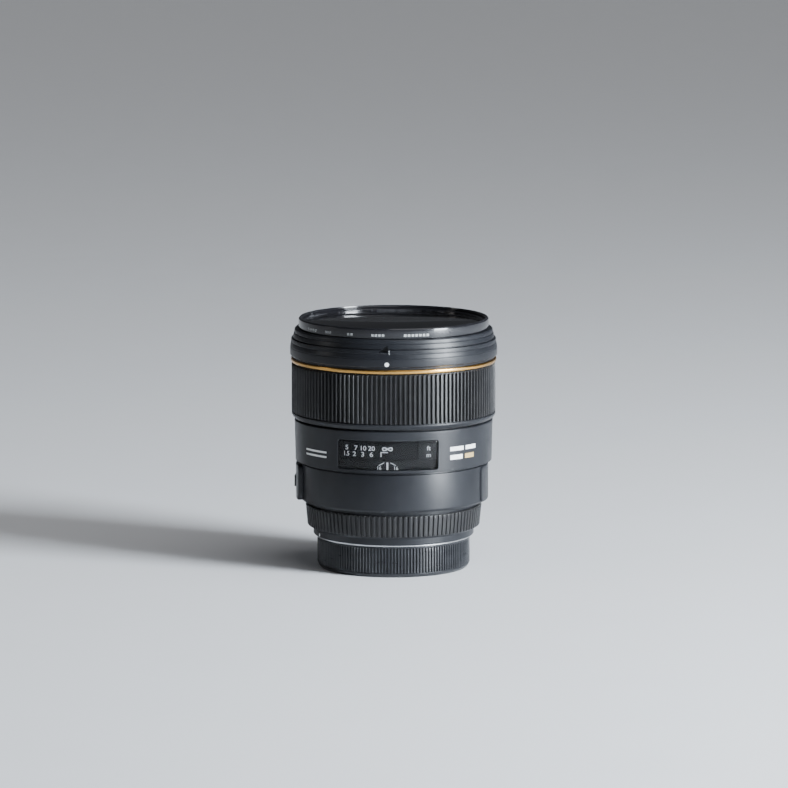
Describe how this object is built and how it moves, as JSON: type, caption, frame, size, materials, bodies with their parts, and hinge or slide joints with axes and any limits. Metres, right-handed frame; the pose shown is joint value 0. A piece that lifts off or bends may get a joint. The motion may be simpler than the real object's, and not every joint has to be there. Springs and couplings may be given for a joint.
{
  "type": "prime camera lens",
  "caption": "Autofocus camera lens of fixed focal length, standing on its rear cap, with a screw-in filter, a ribbed focus ring, a distance window and a working diaphragm.",
  "frame": {"origin": "centre of the rear cap's underside, on the optical axis", "axes": "+Z along the optical axis towards the front filter, -Y out through the middle of the distance window, -X towards the focus mode switch"},
  "size_m": [0.0864, 0.0864, 0.105],
  "materials": {
    "filter_frame": "gloss anodised black",
    "filter_glass": "coated glass",
    "barrel_black": "fine matte composite",
    "grip_rubber": "moulded ribbed rubber",
    "gold_band": "satin gold anodised",
    "marking_white": "printed white",
    "window_clear": "clear polished window",
    "panel_black": "fine matte",
    "badge_black": "satin",
    "mount_metal": "machined and plated",
    "screw_steel": "bright",
    "cap_plastic": "satin moulded",
    "inner_alloy": "black anodised",
    "cam_alloy": "machined",
    "follower_brass": "turned",
    "lens_glass": "multi-coated optical glass",
    "blade_steel": "black coated spring steel",
    "drum_black": "matte black",
    "motor_metal": "ground",
    "stator_bronze": "bronze",
    "board_green": "solder mask",
    "contact_gold": "gold plated",
    "pinion_brass": "cut brass"
  },
  "bodies": {
    "barrel": {"front_ring": "barrel_black", "index_marks": "marking_white", "gold_ring": "gold_band", "window_barrel": "barrel_black", "distance_window": "window_clear", "lower_barrel": "barrel_black", "switch_panel": "panel_black", "badge_plate": "badge_black", "rear_grip_ring": "grip_rubber", "mount_skirt": "barrel_black", "mount_flange": "mount_metal", "mount_screws": "screw_steel", "contact_block": "panel_black", "contact_pins": "contact_gold", "rear_baffle": "drum_black", "front_trim_ring": "barrel_black", "main_tube": "inner_alloy", "focus_guide_tube": "inner_alloy", "front_cell": "inner_alloy", "element_1": "lens_glass", "element_2": "lens_glass", "front_doublet": "lens_glass", "iris_base": "inner_alloy", "iris_motor_plate": "inner_alloy", "iris_motor": "motor_metal", "motor_wave_washer": "motor_metal", "motor_stator": "stator_bronze", "circuit_board": "board_green"},
    "filter": {"filter_ring": "filter_frame", "filter_glass": "filter_glass", "filter_retaining_ring": "filter_frame"},
    "focus_ring": {"focus_ring_core": "barrel_black", "focus_grip_rubber": "grip_rubber", "manual_drive_ring": "motor_metal"},
    "cam": {"cam_ring": "cam_alloy", "roller_carrier": "cam_alloy", "distance_drum": "drum_black"},
    "roller_1": {"drive_roller_1": "motor_metal"},
    "roller_2": {"drive_roller_2": "motor_metal"},
    "roller_3": {"drive_roller_3": "motor_metal"},
    "rotor": {"motor_rotor": "motor_metal"},
    "focus_group": {"focus_cell": "inner_alloy", "rear_doublet_1": "lens_glass", "element_7": "lens_glass", "rear_doublet_2": "lens_glass", "rear_singlets": "lens_glass", "cam_followers": "follower_brass"},
    "iris_ring": {"iris_drive_ring": "inner_alloy"},
    "pinion": {"iris_pinion": "pinion_brass"},
    "mode_switch": {"mode_switch": "panel_black"},
    "rear_cap": {"rear_cap": "cap_plastic"},
    "blade_1": {"iris_blade_1": "blade_steel"},
    "blade_2": {"iris_blade_2": "blade_steel"},
    "blade_3": {"iris_blade_3": "blade_steel"},
    "blade_4": {"iris_blade_4": "blade_steel"},
    "blade_5": {"iris_blade_5": "blade_steel"},
    "blade_6": {"iris_blade_6": "blade_steel"},
    "blade_7": {"iris_blade_7": "blade_steel"},
    "blade_8": {"iris_blade_8": "blade_steel"},
    "blade_9": {"iris_blade_9": "blade_steel"}
  },
  "joints": [
    {"name": "filter_lift", "type": "slide", "parent": "barrel", "child": "filter", "axis": [0, 0, 1], "range_m": [0, 0.008]},
    {"name": "focus_turn", "type": "hinge", "parent": "barrel", "child": "focus_ring", "pos_m": [0, 0, 0.0745], "axis": [0, 0, 1], "range_deg": [0, 92]},
    {"name": "scale_turn", "type": "hinge", "parent": "barrel", "child": "cam", "pos_m": [0, 0, 0.0535], "axis": [0, 0, 1], "range_deg": [0, 46]},
    {"name": "focus_group_slide", "type": "slide", "parent": "barrel", "child": "focus_group", "axis": [0, 0, 1], "range_m": [0, 0.00801]},
    {"name": "rotor_turn", "type": "hinge", "parent": "barrel", "child": "rotor", "pos_m": [0, 0, 0.0711], "axis": [0, 0, 1], "range_deg": [0, 92]},
    {"name": "aperture_turn", "type": "hinge", "parent": "barrel", "child": "iris_ring", "pos_m": [0, 0, 0.0583], "axis": [0, 0, 1], "range_deg": [0, 20]},
    {"name": "roller_1_spin", "type": "hinge", "parent": "cam", "child": "roller_1", "pos_m": [0.03204, 0.0185, 0.0747], "axis": [0.866, 0.5, 0], "range_deg": [-852, 0]},
    {"name": "roller_2_spin", "type": "hinge", "parent": "cam", "child": "roller_2", "pos_m": [-0.03204, 0.0185, 0.0747], "axis": [-0.866, 0.5, 0], "range_deg": [-852, 0]},
    {"name": "roller_3_spin", "type": "hinge", "parent": "cam", "child": "roller_3", "pos_m": [0, -0.037, 0.0747], "axis": [0, -1, 0], "range_deg": [-852, 0]},
    {"name": "blade_1_turn", "type": "hinge", "parent": "barrel", "child": "blade_1", "pos_m": [0.0284, 0, 0.0556], "axis": [0, 0, 1], "range_deg": [0, 34.1]},
    {"name": "blade_2_turn", "type": "hinge", "parent": "barrel", "child": "blade_2", "pos_m": [0.02176, 0.01826, 0.0556], "axis": [0, 0, 1], "range_deg": [0, 34.1]},
    {"name": "blade_3_turn", "type": "hinge", "parent": "barrel", "child": "blade_3", "pos_m": [0.00493, 0.02797, 0.0556], "axis": [0, 0, 1], "range_deg": [0, 34.1]},
    {"name": "blade_4_turn", "type": "hinge", "parent": "barrel", "child": "blade_4", "pos_m": [-0.0142, 0.0246, 0.0556], "axis": [0, 0, 1], "range_deg": [0, 34.1]},
    {"name": "blade_5_turn", "type": "hinge", "parent": "barrel", "child": "blade_5", "pos_m": [-0.02669, 0.00971, 0.0556], "axis": [0, 0, 1], "range_deg": [0, 34.1]},
    {"name": "blade_6_turn", "type": "hinge", "parent": "barrel", "child": "blade_6", "pos_m": [-0.02669, -0.00971, 0.0556], "axis": [0, 0, 1], "range_deg": [0, 34.1]},
    {"name": "blade_7_turn", "type": "hinge", "parent": "barrel", "child": "blade_7", "pos_m": [-0.0142, -0.0246, 0.0556], "axis": [0, 0, 1], "range_deg": [0, 34.1]},
    {"name": "blade_8_turn", "type": "hinge", "parent": "barrel", "child": "blade_8", "pos_m": [0.00493, -0.02797, 0.0556], "axis": [0, 0, 1], "range_deg": [0, 34.1]},
    {"name": "blade_9_turn", "type": "hinge", "parent": "barrel", "child": "blade_9", "pos_m": [0.02176, -0.01826, 0.0556], "axis": [0, 0, 1], "range_deg": [0, 34.1]},
    {"name": "pinion_spin", "type": "hinge", "parent": "barrel", "child": "pinion", "pos_m": [0.0136, 0.02356, 0.0604], "axis": [0, 0, 1], "range_deg": [-227.5, 0]},
    {"name": "mode_switch_slide", "type": "slide", "parent": "barrel", "child": "mode_switch", "axis": [0, 1, 0], "range_m": [0, 0.003]},
    {"name": "rear_cap_turn", "type": "hinge", "parent": "barrel", "child": "rear_cap", "pos_m": [0, 0, 0.0105], "axis": [0, 0, 1], "range_deg": [0, 60]}
  ],
  "couplings": [
    {"joint": "scale_turn", "follows": "focus_turn", "ratio": 0.5},
    {"joint": "focus_group_slide", "follows": "focus_turn", "m_per_rad": 0.0049822},
    {"joint": "roller_1_spin", "follows": "focus_turn", "ratio": -9.25},
    {"joint": "roller_2_spin", "follows": "focus_turn", "ratio": -9.25},
    {"joint": "roller_3_spin", "follows": "focus_turn", "ratio": -9.25},
    {"joint": "blade_1_turn", "follows": "aperture_turn", "ratio": 1.7},
    {"joint": "blade_2_turn", "follows": "aperture_turn", "ratio": 1.7},
    {"joint": "blade_3_turn", "follows": "aperture_turn", "ratio": 1.7},
    {"joint": "blade_4_turn", "follows": "aperture_turn", "ratio": 1.7},
    {"joint": "blade_5_turn", "follows": "aperture_turn", "ratio": 1.7},
    {"joint": "blade_6_turn", "follows": "aperture_turn", "ratio": 1.7},
    {"joint": "blade_7_turn", "follows": "aperture_turn", "ratio": 1.7},
    {"joint": "blade_8_turn", "follows": "aperture_turn", "ratio": 1.7},
    {"joint": "blade_9_turn", "follows": "aperture_turn", "ratio": 1.7},
    {"joint": "pinion_spin", "follows": "aperture_turn", "ratio": -11.364}
  ]
}
